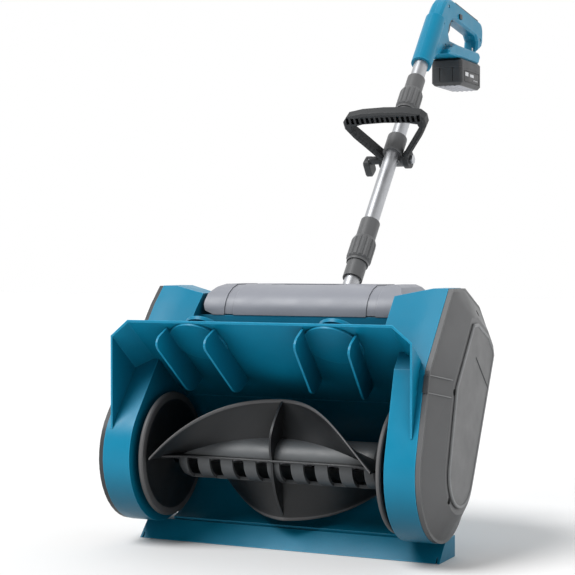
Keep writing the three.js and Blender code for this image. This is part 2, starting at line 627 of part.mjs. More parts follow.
// One half of the rear handle; `screwSide` opens the screw recesses.
function handleShell(screwSide) {
  const rightOnly = block([GAP / 2, 100], [400, 1100], [600, 1100]);
  const grip = prismXOut(handleOutline(), [0, GRIP_HALF], { bevel: 5, rounds: 1, arc: 4 });
  const fingerGap = join(
    prismX(outline(FINGER_GAP), [-50, 50]),
    prismX(outline(FINGER_GAP), [GRIP_HALF - 4, GRIP_HALF + 20], { offset: 4, bevel: 4 }),
  );
  const barrel = keep(poleRod(19, HANDLE_S, 646, 24), rightOnly);
  const mount = prismXOut(mountOutline(), [0, MOUNT_HALF], { bevel: 3, rounds: 1 });
  const cavity = cut(
    join(
      prismX(handleOutline(), [-1, GRIP_HALF - WALL], { offset: -WALL, arc: 4 }),
      poleRod(15, HANDLE_S + 62, 640, 20),
    ),
    poleRod(21, HANDLE_S - 10, HANDLE_S + 56, 24),
    prismX(mountOutline(), [-5, 60]),
    prismX(outline(FINGER_GAP), [-5, 60], { offset: WALL }),
    prismX(overmouldOutline(), [-5, 60], { offset: 2.6 }),
  );
  const bosses = HANDLE_SCREWS.map((at) => rodX(5, [0, GRIP_HALF - 1], at, 10));
  let shell = join(cut(join(grip, barrel, mount), cavity), ...bosses);
  shell = cut(
    keep(shell, rightOnly),
    fingerGap,
    poleRod(TUBE_R + GAP, HANDLE_S - 10, HANDLE_S + 62, 28),
    prismX(overmouldOutline(), [-20, 11.4], { offset: GAP }),
    railSlot(0.4),
    block([-13, 13], [714, 733], [825, 838]),
    block([-7, 7], [699, 752], [864, 914]),
    ...HANDLE_SCREWS.map((at) => rodX(1.9, [-2, GRIP_HALF + 1], at, 8)),
  );
  if (!screwSide) return shell;
  const recesses = HANDLE_SCREWS.map((at) => rodX(3.8, [GRIP_HALF - 3, 40], at, 12));
  return cut(shell, ...recesses, lockOff(0.4));
}
function gripOvermould() {
  return prismX(overmouldOutline(), [-11, 11], { arc: 2 });
}
const lockOff = (clear) =>
  block([10 - 8 * clear, 17], [760 - clear, 773 + clear], [903 - clear, 912 + clear]);
function trigger() {
  const lever = outline([
    [707, 907], [744, 907], [746, 897], [738, 892], [730, 876], [721, 868], [711, 869], [706, 880], [704, 897],
  ]);
  return join(prismX(lever, [-6, 6], { bevel: 1.2 }), rodX(1.9, [-9.5, 9.5], [711, 902], 10));
}
const triggerSwitch = () => block([-8, 8], [714, 744], [914.3, 925]);
const terminalBlock = () => block([-12.4, 12.4], [715, 731.5], [826, 837]);

// ---------------------------------------------------------------- battery
const batteryPlan = () => rectangle([-BATTERY_HALF, BATTERY_HALF], BATTERY_Y, 7);
const labelRecess = (x0, x1) => block([x0, x1], [742, 832], [780, 802]);
function batteryLowerCase() {
  const [z0] = BATTERY_Z;
  const body = keep(
    prismZ(batteryPlan(), [z0, BATTERY_SEAM_Z + 30], { bevel: 5, rounds: 1, arc: 3 }),
    block([-100, 100], [600, 900], [z0 - 1, BATTERY_SEAM_Z]),
  );
  const inside = prismZ(batteryPlan(), [z0 + WALL, BATTERY_SEAM_Z + 10], { offset: -WALL - 0.5, arc: 3 });
  const ribs = [-17, -6, 6, 17].map((x) => block([x - 0.9, x + 0.9], [740, 832], [z0 - 1, z0 + 1.2]));
  const seats = [labelRecess(30, 35), labelRecess(-35, -30)];
  const ends = [-13, 13].map((x) => block([x - 1.4, x + 1.4], [725, 728.4], [780, 900]));
  return cut(body, inside, ...ribs, ...seats, ...ends);
}
function batteryUpperCase() {
  const [, z1] = BATTERY_Z;
  const body = keep(
    prismZ(batteryPlan(), [BATTERY_SEAM_Z - 30, z1], { bevel: 4, rounds: 1, arc: 3 }),
    block([-100, 100], [600, 900], [BATTERY_SEAM_Z + GAP, z1 + 1]),
  );
  const inside = prismZ(batteryPlan(), [BATTERY_SEAM_Z - 10, z1 - 2.5], { offset: -4.2, arc: 3 });
  const rail = join(
    block([-18, 18], [735, 834], [z1 - 1, 830]),
    block([-22, 22], [735, 834], [829.8, 834.5]),
  );
  const contactSlots = [-9, 0, 9].map((x) => block([x - 1.2, x + 1.2], [730, 752], [826, 832]));
  const latch = block([-14.5, 14.5], [836, 850], [z1 - 12, z1 + 5]);
  return cut(join(cut(body, inside), rail), latch, ...contactSlots);
}
function releaseButton() {
  const z1 = BATTERY_Z[1];
  return join(
    block([-14, 14], [836.6, 845.6], [z1 - 4, z1 + 1.6]),
    block([-14, 14], [842, 845.6], [z1 - 8.4, z1 - 3]),
  );
}
function batteryCells() {
  const r = 9.2;
  const places = [[-17.8, 784.4], [0, 784.4], [17.8, 784.4], [-8.9, 799.6], [8.9, 799.6]];
  const cells = places.map(([x, z]) => rod(r, [x, 736, z], [x, 801, z], 14));
  return join(...cells);
}

// ---------------------------------------------------------------- assembly
const shovel = new THREE.Group();
shovel.position.y = -BASE_DEPTH / 2;

const head = frame(shovel, [0, 0, 0]);
node(head, "scraper_base", scraperBase(), blue);
node(head, "hood_shell", hoodShell(), blue);
node(head, "auger_trough", augerTrough(), blue);
node(head, "side_housing_right", sideHousing(DRIVE_SIDE, true), blue);
node(head, "side_housing_left", sideHousing(IDLE_SIDE, false), blue, { mirror: true });
node(head, "drive_cover_right", sideCover(DRIVE_SIDE), midGrey);
node(head, "side_cover_left", sideCover(IDLE_SIDE), darkGrey, { mirror: true });
DRIVE_SIDE.screws.forEach((at, i) => node(head, `cover_screw_right_${i + 1}`, coverScrew(at), steel));
IDLE_SIDE.screws.forEach((at, i) =>
  node(head, `cover_screw_left_${i + 1}`, coverScrew(at), steel, { mirror: true }),
);
node(head, "motor_bay", motorBay(), blue);
node(head, "top_cover", topCover(), paleGrey);
node(head, "pole_socket", poleSocket(), darkGrey);
node(head, "motor", motor(), steel);
node(head, "motor_shaft", motorShaft(), steel);
node(head, "motor_pulley", pulley(SMALL_PULLEY_R, 5.3, [MOTOR_Y, MOTOR_Z]), steel);
node(head, "drive_belt", driveBelt(), rubber);
node(head, "belt_tensioner", beltTensioner(), black);
node(head, "motor_controller", block([-130, -40], [128, 196], [238, 256]), board);

const auger = frame(shovel, [0, ...AXIS]);
node(auger, "auger_axle", augerAxle(), steel);
node(auger, "bearing_right", bearing(), steel);
node(auger, "bearing_left", bearing(), steel, { mirror: true });
node(auger, "axle_pulley", pulley(LARGE_PULLEY_R, AXLE_R + 0.3, [0, 0]), black);
node(auger, "auger_disc_right", endDisc(), darkGrey);
node(auger, "auger_disc_left", endDisc(), darkGrey, { mirror: true });
node(auger, "auger_drum", augerDrum(), darkGrey);
node(auger, "auger_blade_a", blade(), darkGrey);
node(auger, "auger_blade_b", blade().rotate([180, 0, 0]), darkGrey);

for (const [name, sign, yaw] of [["left", -1, 0], ["right", 1, RIGHT_DEFLECTOR_YAW]]) {
  const mount = frame(shovel, [sign * DEFLECTOR_X, ...onRoof(DEFLECTOR_S)], -HOOD_SLOPE, yaw);
  node(mount, `deflector_${name}`, deflector(), blue);
  node(mount, `deflector_dial_${name}`, deflectorDial(), blue);
}

const pole = frame(shovel, [0, POLE_Y, POLE_Z], POLE_ANGLE - 90);
node(pole, "lower_tube", tube(-92, 78), aluminium);
node(pole, "lower_coupling_sleeve", couplingHalf(16.8, 18, 50, 76), darkGrey);
node(pole, "lower_coupling_ring", couplingRing(50.4, 55), darkGrey);
node(pole, "lower_coupling_nut", ribbedNut(55.6, 103), darkGrey);
node(pole, "main_tube_sleeve", couplingHalf(16.8, 103.6, 142, 80), darkGrey);
node(pole, "main_tube", tube(80, 440), aluminium);
node(pole, "upper_coupling_sleeve", join(couplingHalf(16.5, 390, 404, 438), couplingRing(404, 408)), darkGrey);
node(pole, "upper_coupling_nut", ribbedNut(408.6, 454), darkGrey);
node(pole, "handle_tube_sleeve", couplingHalf(16.5, 454.6, 487, 441.5), darkGrey);
node(pole, "handle_tube", tube(442, HANDLE_S + 58), aluminium);
node(pole, "clamp_collar", clampCollar(), darkGrey);

const loop = frame(shovel, [0, ...onPole(PIVOT_S, PIVOT_D)], LOOP_TILT);
node(loop, "aux_handle", auxHandle(), black);
node(loop, "clamp_bolt", clampBolt(), steel);
node(loop, "clamp_knob", clampKnob(), black);

const rear = frame(shovel, [0, 0, 0]);
node(rear, "handle_shell_right", handleShell(true), blue);
node(rear, "handle_shell_left", handleShell(false), blue, { mirror: true });
node(rear, "grip_overmould", gripOvermould(), rubber);
node(rear, "trigger", trigger(), black);
node(rear, "trigger_switch", triggerSwitch(), black);
node(rear, "lock_off_button", lockOff(0), black);
node(rear, "terminal_block", terminalBlock(), copper);
node(rear, "battery_lower_case", batteryLowerCase(), darkGrey);
node(rear, "battery_upper_case", batteryUpperCase(), darkGrey);
node(rear, "battery_release_button", releaseButton(), blue);
node(rear, "battery_cells", batteryCells(), cellWrap);

export default shovel;
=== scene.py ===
"""Looks of the cordless snow shovel: materials, the moulded details and the auger's finished surfaces.

Metres, in the CAD frame. X runs to the right of someone facing the scoop, the pole rises towards +Y.
"""
import json
import math

import bmesh
import bpy
from mathutils import Matrix, Vector


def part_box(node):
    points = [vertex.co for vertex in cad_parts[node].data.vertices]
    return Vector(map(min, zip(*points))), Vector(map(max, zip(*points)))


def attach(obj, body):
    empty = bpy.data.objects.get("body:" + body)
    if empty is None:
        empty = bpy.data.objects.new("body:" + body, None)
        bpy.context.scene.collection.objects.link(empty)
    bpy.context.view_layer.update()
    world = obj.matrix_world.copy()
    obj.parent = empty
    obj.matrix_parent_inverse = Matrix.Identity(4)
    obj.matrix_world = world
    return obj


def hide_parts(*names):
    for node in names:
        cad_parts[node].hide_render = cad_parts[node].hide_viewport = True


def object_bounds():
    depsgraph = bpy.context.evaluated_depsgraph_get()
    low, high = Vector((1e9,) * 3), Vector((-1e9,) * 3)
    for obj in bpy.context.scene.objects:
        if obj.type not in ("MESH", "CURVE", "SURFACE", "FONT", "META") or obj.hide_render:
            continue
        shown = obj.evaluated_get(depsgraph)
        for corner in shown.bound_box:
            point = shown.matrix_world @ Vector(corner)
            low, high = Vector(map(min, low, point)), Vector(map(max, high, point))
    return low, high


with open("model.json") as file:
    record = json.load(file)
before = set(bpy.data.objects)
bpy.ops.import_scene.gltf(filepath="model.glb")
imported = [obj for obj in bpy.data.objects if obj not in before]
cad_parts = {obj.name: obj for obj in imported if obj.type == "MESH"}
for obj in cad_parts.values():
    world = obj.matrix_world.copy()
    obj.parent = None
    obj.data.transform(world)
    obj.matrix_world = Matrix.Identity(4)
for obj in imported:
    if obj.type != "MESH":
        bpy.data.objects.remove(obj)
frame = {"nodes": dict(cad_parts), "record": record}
CAD_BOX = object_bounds()

NODES = frame["nodes"]
SLOT_OF = {part["node"]: part["material_slot"] for part in frame["record"]["subparts"]}


# ---------------------------------------------------------------- materials
COLOR_A, COLOR_B, COLOR_OUT = 6, 7, 2  # the colour sockets of a Mix node
EDGE_HIGHLIGHT_TINT = 0.05  # how far the painted edge highlight goes towards white
SHADE_REACH = 0.22  # metres within which a neighbour adds painted shade to a surface


class Shading:
    """Adds and links the nodes of one node tree."""

    def __init__(self, tree):
        self.tree = tree
        self.coords = tree.nodes.new("ShaderNodeTexCoord")

    def add(self, kind, inputs=None, **settings):
        node = self.tree.nodes.new(kind)
        for key, value in settings.items():
            setattr(node, key, value)
        for key, value in (inputs or {}).items():
            if isinstance(value, bpy.types.NodeSocket):
                self.tree.links.new(value, node.inputs[key])
            else:
                node.inputs[key].default_value = value
        return node

    def calculate(self, operation, *values):
        return self.add("ShaderNodeMath", dict(enumerate(values)), operation=operation).outputs["Value"]

    def spread(self, value, low, high, start=0.3, end=0.7, **settings):
        """Maps the range from start to end onto the range from low to high."""
        inputs = {"Value": value, "From Min": start, "From Max": end, "To Min": low, "To Max": high}
        return self.add("ShaderNodeMapRange", inputs, **settings).outputs["Result"]

    def mix(self, factor, first, second, **settings):
        inputs = {"Factor": factor, COLOR_A: first, COLOR_B: second}
        return self.add("ShaderNodeMix", inputs, data_type="RGBA", **settings).outputs[COLOR_OUT]


class Material(Shading):
    """A procedural material, built up on its Principled shader."""

    def __init__(self, name):
        self.material = bpy.data.materials.new(name)
        self.material.use_nodes = True
        super().__init__(self.material.node_tree)
        self.shader = self.tree.nodes["Principled BSDF"]

    def wire(self, output, name):
        self.tree.links.new(output, self.shader.inputs[name])

    def wired(self, name):
        return self.shader.inputs[name].links[0].from_socket

    def noise(self, scale, detail=3.0, roughness=0.55, stretch=None):
        vector = self.coords.outputs["Object"]
        if stretch:
            vector = self.add("ShaderNodeMapping", {"Vector": vector, "Scale": stretch}).outputs["Vector"]
        inputs = {"Vector": vector, "Scale": scale, "Detail": detail, "Roughness": roughness}
        return self.add("ShaderNodeTexNoise", inputs).outputs["Fac"]

    def blend(self, factor, first, second):
        return self.mix(factor, (*first, 1.0), (*second, 1.0))

    def bump(self, height, strength, distance, below=None):
        inputs = {"Height": height, "Strength": strength, "Distance": distance}
        if below:
            inputs["Normal"] = below
        return self.add("ShaderNodeBump", inputs).outputs["Normal"]

    def painted_edge_highlight(self, base, color, edge, rub):
        """Paints a highlight into the plastic's colour along its edges, unevenly along them."""
        rounded = self.add("ShaderNodeBevel", {"Radius": 2.2 * edge}, samples=4).outputs["Normal"]
        flat = self.add("ShaderNodeNewGeometry").outputs["Normal"]
        match = self.add("ShaderNodeVectorMath", {0: rounded, 1: flat}, operation="DOT_PRODUCT")
        edges = self.spread(match.outputs["Value"], 0.75, 0.0, 0.86, 0.995)
        uneven = self.spread(self.noise(45.0), 0.55, 1.0)
        highlight_mask = self.calculate("MULTIPLY", edges, uneven)
        # the painted highlight's colour: the plastic's colour brightened and taken a little towards white
        pale = tuple(channel + (1.0 - channel) * EDGE_HIGHLIGHT_TINT for channel in tinted(color, rub))
        return self.mix(highlight_mask, base, (*pale, 1.0))

    def painted_corner_shade(self, base, depth):
        """Paints shade into the plastic's colour in its deep corners, where neighbours are near."""
        hidden = self.add("ShaderNodeAmbientOcclusion", {"Distance": SHADE_REACH}, samples=6).outputs["AO"]
        shade = self.spread(hidden, 1.0 - depth, 1.0, 0.25, 0.85)
        gray = self.add("ShaderNodeCombineColor", {"Red": shade, "Green": shade, "Blue": shade})
        return self.mix(1.0, base, gray.outputs["Color"], blend_type="MULTIPLY")


def tinted(color, factor):
    return tuple(min(1.0, channel * factor) for channel in color)


def moulded(name, color, roughness, grain=0.25, gloss=0.38, edge=0.0007, rub=1.7):
    """Moulded plastic: fine spark-eroded grain, soft clouds in the gloss, rounded edges that catch light,
    with a painted highlight along them and painted shade in deep corners.
    """
    m = Material(name)
    clouds = m.noise(9.0)
    base = m.blend(m.spread(clouds, 0.0, 1.0), tinted(color, 0.93), tinted(color, 1.06))
    # The base colour carries a painted highlight along the edges and painted shade in deep corners.
    m.wire(m.painted_corner_shade(m.painted_edge_highlight(base, color, edge, rub), 0.62), "Base Color")
    m.wire(m.spread(m.noise(34.0), roughness - 0.05, roughness + 0.06), "Roughness")
    rounded = m.add("ShaderNodeBevel", {"Radius": edge}, samples=4).outputs["Normal"]
    coarse = m.bump(m.noise(60.0, 2.0), 0.06, 0.0006, rounded)
    m.wire(m.bump(m.noise(1600.0, 2.0), grain, 0.00008, coarse), "Normal")
    m.shader.inputs["Specular IOR Level"].default_value = gloss
    return m


def plastic(*look, **details):
    return moulded(*look, **details).material


LOOP_TILT = 37.6  # the auxiliary handle's loop leans this far from upright, in degrees
LEG_ACROSS, LEG_UP = 0.622, 0.783  # direction of each of its legs, across and up from the bolt
PAD_LENGTH, PAD_WIDTH, PAD_GAP = 0.0085, 0.0058, 0.0007
PADS_FROM, PADS_TO, PADS_FADE = 0.016, 0.072, 0.004  # heights above the bolt


def strap(name, color):
    """Plastic with a brick pattern of low pads on the loop's two legs, below its grip bar, with painted shade
    in the gaps between them.
    """
    bolt_low, bolt_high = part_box("clamp_bolt")
    origin = (bolt_low + bolt_high) / 2
    origin.x = 0.0
    m = moulded(name, color, 0.5, grain=0.3)
    local = m.add("ShaderNodeMapping", {"Vector": m.coords.outputs["Object"]}, vector_type="TEXTURE")
    local.inputs["Location"].default_value = origin
    local.inputs["Rotation"].default_value = (math.radians(LOOP_TILT), 0.0, 0.0)
    axes = m.add("ShaderNodeSeparateXYZ", {"Vector": local.outputs["Vector"]}).outputs
    mirrored = m.calculate("ABSOLUTE", axes["X"])

    def along(x_part, z_part):
        x_term = m.calculate("MULTIPLY", mirrored, x_part)
        return m.calculate("ADD", x_term, m.calculate("MULTIPLY", axes["Z"], z_part))

    width = m.calculate("ADD", along(LEG_UP, -LEG_ACROSS), axes["Y"])
    flat = m.add("ShaderNodeCombineXYZ", {"X": along(LEG_ACROSS, LEG_UP), "Y": width})
    pattern = {"Vector": flat.outputs["Vector"], "Scale": 1.0, "Mortar Smooth": 0.3}
    pattern |= {"Brick Width": PAD_LENGTH, "Row Height": PAD_WIDTH, "Mortar Size": PAD_GAP}
    bricks = m.add("ShaderNodeTexBrick", pattern)
    below = m.spread(axes["Z"], 1.0, 0.0, PADS_TO - PADS_FADE, PADS_TO)
    above = m.spread(axes["Z"], 0.0, 1.0, PADS_FROM, PADS_FROM + PADS_FADE)
    zone = m.calculate("MULTIPLY", below, above)
    gaps = m.calculate("MULTIPLY", bricks.outputs["Fac"], zone)
    pads = m.calculate("SUBTRACT", 1.0, gaps)
    # The gaps between the pads are painted darker: painted shade in the grooves.
    m.wire(m.mix(gaps, m.wired("Base Color"), (*tinted(color, 0.3), 1.0)), "Base Color")
    m.wire(m.bump(pads, 1.0, 0.0012, m.wired("Normal")), "Normal")
    return m.material


def metal(name, color, roughness, stretch):
    """Drawn or turned metal: fine lines along one direction and small changes in the polish."""
    m = Material(name)
    streaks = m.noise(900.0, 2.0, stretch=stretch)
    m.wire(m.blend(m.spread(streaks, 0.0, 1.0), tinted(color, 0.9), tinted(color, 1.05)), "Base Color")
    m.wire(m.spread(m.noise(30.0), roughness - 0.06, roughness + 0.08), "Roughness")
    m.wire(m.bump(streaks, 0.12, 0.00005), "Normal")
    m.shader.inputs["Metallic"].default_value = 1.0
    return m.material


def rubber(name, color):
    """Soft overmould with a fine cellular stipple."""
    m = Material(name)
    cells = m.add("ShaderNodeTexVoronoi", {"Vector": m.coords.outputs["Object"], "Scale": 420.0})
    m.wire(m.blend(m.spread(m.noise(26.0), 0.0, 1.0), tinted(color, 0.85), tinted(color, 1.25)), "Base Color")
    m.shader.inputs["Roughness"].default_value = 0.74
    m.wire(m.bump(cells.outputs["Distance"], 0.35, 0.0003), "Normal")
    return m.material


BLUE = (0.002, 0.215, 0.365)
AUGER_GREY = (0.017, 0.0185, 0.0205)
# Where given, the last argument brightens the painted highlight along a shell's edges.
MATERIALS = {
    "blue_shell": plastic("blue_shell", BLUE, 0.36, grain=0.12, gloss=0.26, edge=0.001, rub=2.1),
    "dark_shell": plastic("dark_shell", (0.040, 0.042, 0.045), 0.45, grain=0.3),
    "mid_grey_shell": plastic("mid_grey_shell", (0.115, 0.117, 0.120), 0.42, grain=0.3),
    "pale_grey_shell": plastic("pale_grey_shell", (0.27, 0.28, 0.315), 0.42, grain=0.3),
    "auger_black": plastic("auger_black", AUGER_GREY, 0.40, grain=0.2, edge=0.0009, rub=3.2),
    "grip_rubber": rubber("grip_rubber", (0.014, 0.014, 0.015)),
    "pole_aluminium": metal("pole_aluminium", (0.50, 0.51, 0.53), 0.42, (1.0, 1.0, 0.02)),
    "steel": metal("steel", (0.52, 0.53, 0.55), 0.33, (1.0, 1.0, 0.1)),
    "contact_metal": metal("contact_metal", (0.60, 0.38, 0.18), 0.35, (1.0, 1.0, 0.2)),
    "circuit_board": plastic("circuit_board", (0.02, 0.16, 0.07), 0.5),
    "cell_wrap": plastic("cell_wrap", (0.05, 0.30, 0.13), 0.35),
}
# The drum's grey is a lighter copy of the auger plastic: painted light for the light its bars catch.
DRUM_LIT_GREY = plastic("drum_grey", (0.105, 0.112, 0.118), 0.42, grain=0.2, edge=0.0009)
# A lighter grey for the drive cover's raised ridge and lines: a painted highlight where their tops catch the
# light.
RIDGE_HIGHLIGHT_GREY = plastic("rim_grey", (0.20, 0.205, 0.21), 0.42)
EDGE_GREY = plastic("edge_grey", (0.115, 0.113, 0.115), 0.45, grain=0.2)
LABEL_BLACK = plastic("label_black", (0.006, 0.006, 0.007), 0.35, grain=0.02, gloss=0.3)
LABEL_PALE = plastic("label_pale", (0.62, 0.63, 0.65), 0.3, grain=0.02)
STRAP_BLACK = strap("strap_black", (0.024, 0.026, 0.028))


# ---------------------------------------------------------------- smooth shading by angle
def smooth_tree(degrees):
    """A modifier that shades a faceted mesh smooth wherever its faces meet at a small angle."""
    tree = bpy.data.node_groups.new("smooth_by_angle", "GeometryNodeTree")
    tree.interface.new_socket("Geometry", in_out="INPUT", socket_type="NodeSocketGeometry")
    tree.interface.new_socket("Geometry", in_out="OUTPUT", socket_type="NodeSocketGeometry")
    source = tree.nodes.new("NodeGroupInput")
    result = tree.nodes.new("NodeGroupOutput")
    weld = tree.nodes.new("GeometryNodeMergeByDistance")
    weld.inputs["Distance"].default_value = 1e-6
    faces = tree.nodes.new("GeometryNodeSetShadeSmooth")
    faces.inputs["Shade Smooth"].default_value = True
    edges = tree.nodes.new("GeometryNodeSetShadeSmooth")
    edges.domain = "EDGE"
    edges.inputs["Shade Smooth"].default_value = False
    angle = tree.nodes.new("GeometryNodeInputMeshEdgeAngle")
    sharp = tree.nodes.new("FunctionNodeCompare")
    sharp.operation = "GREATER_THAN"
    sharp.inputs[1].default_value = math.radians(degrees)
    link = tree.links.new
    link(source.outputs[0], weld.inputs["Geometry"])
    link(weld.outputs["Geometry"], faces.inputs["Geometry"])
    link(faces.outputs["Geometry"], edges.inputs["Geometry"])
    link(angle.outputs["Unsigned Angle"], sharp.inputs[0])
    link(sharp.outputs["Result"], edges.inputs["Selection"])
    link(edges.outputs["Geometry"], result.inputs[0])
    return tree


SMOOTH = smooth_tree(24.0)


def smooth(piece):
    piece.modifiers.new("smooth", "NODES").node_group = SMOOTH


for node_name, node_object in NODES.items():
    node_object.data.materials.clear()
    finish = STRAP_BLACK if node_name == "aux_handle" else MATERIALS[SLOT_OF[node_name]]
    node_object.data.materials.append(finish)
    smooth(node_object)


# ---------------------------------------------------------------- building pieces
def piece_from(name, mesh_builder, material, body):
    """Makes an object from a bmesh and fixes it to a CAD body."""
    mesh = bpy.data.meshes.new(name)
    builder = bmesh.new()
    mesh_builder(builder)
    bmesh.ops.recalc_face_normals(builder, faces=builder.faces)
    builder.to_mesh(mesh)
    builder.free()
    piece = bpy.data.objects.new(name, mesh)
    bpy.context.scene.collection.objects.link(piece)
    for each in material if isinstance(material, (list, tuple)) else [material]:
        mesh.materials.append(each)
    smooth(piece)
    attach(piece, body)
    return piece


def sweep(builder, sections):
    """Joins a row of equal closed sections with quads and caps both ends; a section is a list of points."""
    rings = [[builder.verts.new(point) for point in section] for section in sections]
    count = len(rings[0])
    for first, second in zip(rings, rings[1:]):
        for i in range(count):
            j = (i + 1) % count
            builder.faces.new((first[i], first[j], second[j], second[i]))
    builder.faces.new(rings[0])
    builder.faces.new(list(reversed(rings[-1])))


def turned(builder, profile, centre, steps=96):
    """A closed body turned about the X axis through centre, from points of (x, radius)."""
    rings = []
    for k in range(steps):
        angle = 2 * math.pi * k / steps
        spin = Vector((0, math.cos(angle), math.sin(angle)))
        rings.append([builder.verts.new(centre + Vector((x, 0, 0)) + spin * r) for x, r in profile])
    count = len(profile)
    for k in range(steps):
        first, second = rings[k], rings[(k + 1) % steps]
        for i in range(count):
            j = (i + 1) % count
            builder.faces.new((first[i], first[j], second[j], second[i]))


def mm(*values):
    return tuple(value / 1000 for value in values)


# ---------------------------------------------------------------- the auger
disc_low, disc_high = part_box("auger_disc_right")
AXIS = Vector((0, (disc_low.y + disc_high.y) / 2, (disc_low.z + disc_high.z) / 2))
DISC_IN = disc_low.x
blade_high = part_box("auger_blade_a")[1]
BLADE_HALF = blade_high.x
BLADE_TIP = blade_high.z - AXIS.z
BEAD_DEPTH = 0.0048  # the blade's pale bead reaches this far in from its tip
FLANGE_FROM = 0.0852  # radius where a disc's pale flange starts
drum_low, drum_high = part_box("auger_drum")
DRUM_R = (drum_high.z - drum_low.z) / 2
DRUM_HALF = drum_high.x
DRUM_NECK_R, DRUM_SHOULDER = 0.016, 0.018  # radius at the drum's ends, and how far in they curve
DRUM_WALL = 0.005
DRUM_STEPS = 48
SLOT_PITCH, SLOT_WIDTH, SLOTS_PER_ROW = 0.039, 0.019, 8
SLOT_ARCS = ((183, 258), (3, 78))  # degrees about the axle
TWIST_POWER = 1.35  # the blades twist slowly near the middle and faster near the discs


def around(angle, radius, x=0.0):
    return AXIS + Vector((x, radius * math.cos(angle), radius * math.sin(angle)))


def blade_angle(x, phase):
    """The blade's tip angle: upright at the middle, a quarter turn forward at each end."""
    return phase + math.pi / 2 + (math.pi / 2) * (abs(x) / DISC_IN) ** TWIST_POWER


def build_blade(phase):
    """A twisted plate with a beaded rim, thickening towards its root."""

    def build(builder):
        steps = 120
        root = DRUM_R - 0.001
        tip = BLADE_TIP - 0.0016
        side = []
        for i in range(9):
            t = i / 8
            side.append((root + (tip - 0.004 - root) * t, 0.0013 + 0.0045 * (1 - t) ** 3))
        bead = []
        for i in range(7):
            bend = math.pi * i / 6
            bead.append((tip - 0.0018 + 0.0030 * math.sin(bend), 0.0021 * math.cos(bend)))
        outline = side + bead + [(r, -half) for r, half in reversed(side)]
        sections = []
        for k in range(steps + 1):
            x = -BLADE_HALF + 2 * BLADE_HALF * k / steps
            angle = blade_angle(x, phase)
            radial = Vector((0, math.cos(angle), math.sin(angle)))
            across = Vector((0, -math.sin(angle), math.cos(angle)))
            sections.append([AXIS + Vector((x, 0, 0)) + radial * r + across * w for r, w in outline])
        sweep(builder, sections)
        for face in builder.faces:
            middle = face.calc_center_median() - AXIS
            face.material_index = int(math.hypot(middle.y, middle.z) > BLADE_TIP - BEAD_DEPTH)

    return build


def build_fin(turn):
    """The thin fin across the middle, in front of the drum, with a curved edge."""
    front = [
        (0, 90), (-11, 81.5), (-22, 70), (-31, 60), (-38, 50), (-43, 40), (-45, 30), (-44.5, 21),
        (-42, 10), (-39.5, 2), (-37.6, -8), (-36, -18), (-32, -32), (-27, -45), (-20.5, -57), (-13, -68),
        (-5, -78), (-1, -84),
    ]
    back = [
        (1, -84), (1, -60), (1, -36), (-20, -28), (-33, -10), (-34, 6), (-30, 18), (-16, 31),
        (1, 36), (1, 60), (1, 90),
    ]
    spin = Matrix.Rotation(turn, 3, "X")

    def build(builder):
        sweep(builder, [[AXIS + spin @ Vector(mm(x, y, z)) for y, z in front + back] for x in (-1.7, 1.7)])

    return build


def drum_radius(x):
    run = min(1.0, (DRUM_HALF - abs(x)) / DRUM_SHOULDER)
    return DRUM_NECK_R + (DRUM_R - DRUM_NECK_R) * math.sqrt(max(0.0, 1 - (1 - run) ** 2))


def build_drum(builder):
    """The hollow drum: a tube with curved ends, and bars left between two rows of slots."""
    slots = []
    for i in range(SLOTS_PER_ROW):
        centre = (i - SLOTS_PER_ROW // 2 + 0.5) * SLOT_PITCH
        slots.append((centre - SLOT_WIDTH / 2, centre + SLOT_WIDTH / 2))
    stops = {x for slot in slots for x in slot}
    for inset in (0.0, 0.004, 0.009, DRUM_SHOULDER):
        stops |= {-DRUM_HALF + inset, DRUM_HALF - inset}
    xs = sorted(stops)
    steps = DRUM_STEPS

    def ring(x, radius):
        return [builder.verts.new(around(2 * math.pi * k / steps, radius, x)) for k in range(steps)]

    def open_at(i, k):
        angle = (360.0 * (k + 0.5) / steps) % 360
        return (xs[i], xs[i + 1]) in slots and any(low < angle < high for low, high in SLOT_ARCS)

    outer = [ring(x, drum_radius(x)) for x in xs]
    inner = [ring(x, drum_radius(x) - DRUM_WALL) for x in xs]
    cells = [(i, k, (k + 1) % steps) for i in range(len(xs) - 1) for k in range(steps)]
    for i, k, n in cells:
        if not open_at(i, k):
            builder.faces.new((outer[i][k], outer[i][n], outer[i + 1][n], outer[i + 1][k]))
            builder.faces.new((inner[i][k], inner[i + 1][k], inner[i + 1][n], inner[i][n]))
    for end in (0, len(xs) - 1):
        for k in range(steps):
            n = (k + 1) % steps
            builder.faces.new((outer[end][k], inner[end][k], inner[end][n], outer[end][n]))
    for i, k, n in cells:
        if not open_at(i, k):
            continue
        if not open_at(i, (k - 1) % steps):
            builder.faces.new((outer[i][k], outer[i + 1][k], inner[i + 1][k], inner[i][k]))
        if not open_at(i, n):
            builder.faces.new((outer[i][n], inner[i][n], inner[i + 1][n], outer[i + 1][n]))
        builder.faces.new((outer[i][k], inner[i][k], inner[i][n], outer[i][n]))
        builder.faces.new((outer[i + 1][k], outer[i + 1][n], inner[i + 1][n], inner[i + 1][k]))


def build_disc(side):
    """An end disc: a shallow dish with a raised rim, a stepped hub and a rounded outer bead."""

    def build(builder):
        inner = DISC_IN * 1000
        profile = [
            (inner + 6, 8.4), (inner + 0.2, 14), (inner + 5, 24), (inner + 6.5, 40), (inner + 7.5, 60),
            (inner + 8, 76), (inner + 7, 84), (inner + 6.4, 90), (inner + 7.2, 93.5), (inner + 9, 95.4),
            (inner + 11, 95.9), (inner + 13, 95.4), (inner + 14.6, 93.5), (inner + 14.4, 88),
            (inner + 12, 78), (inner + 12, 24), (inner + 17.6, 15), (inner + 17.6, 8.4),
        ]
        turned(builder, [(side * x / 1000, r / 1000) for x, r in profile], AXIS)
        for face in builder.faces:
            middle = face.calc_center_median() - AXIS
            face.material_index = int(math.hypot(middle.y, middle.z) > FLANGE_FROM)

    return build


